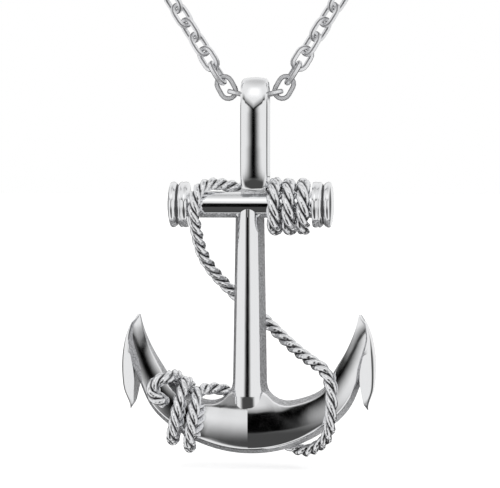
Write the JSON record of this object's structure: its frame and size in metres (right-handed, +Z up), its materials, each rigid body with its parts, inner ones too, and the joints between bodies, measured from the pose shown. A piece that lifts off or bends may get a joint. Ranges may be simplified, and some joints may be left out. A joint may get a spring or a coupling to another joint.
{
  "type": "anchor pendant necklace",
  "caption": "Necklace with an anchor pendant on a flat cable chain, a twisted metal rope wound round the anchor's cross bar and arms, and a long loop bail.",
  "frame": {"origin": "middle of the closed clasp at the nape, where the hanging loop is held", "axes": "+Z up, -Y towards the pendant's front, +X to the right as seen from the front"},
  "size_m": [0.1378, 0.0077, 0.2385],
  "materials": {
    "steel": "high polish",
    "rope_metal": "bright, cast strands"
  },
  "bodies": {
    "chain": {"chain_left": "steel", "chain_right": "steel", "clasp": "steel", "clasp_ring": "steel", "end_ring": "steel"},
    "pendant": {"anchor": "steel", "rope": "rope_metal"}
  },
  "joints": [
    {"name": "pendant_swing", "type": "hinge", "parent": "chain", "child": "pendant", "pos_m": [0, 0, -0.19066], "axis": [1, 0, 0], "range_deg": [-80, 80]}
  ]
}
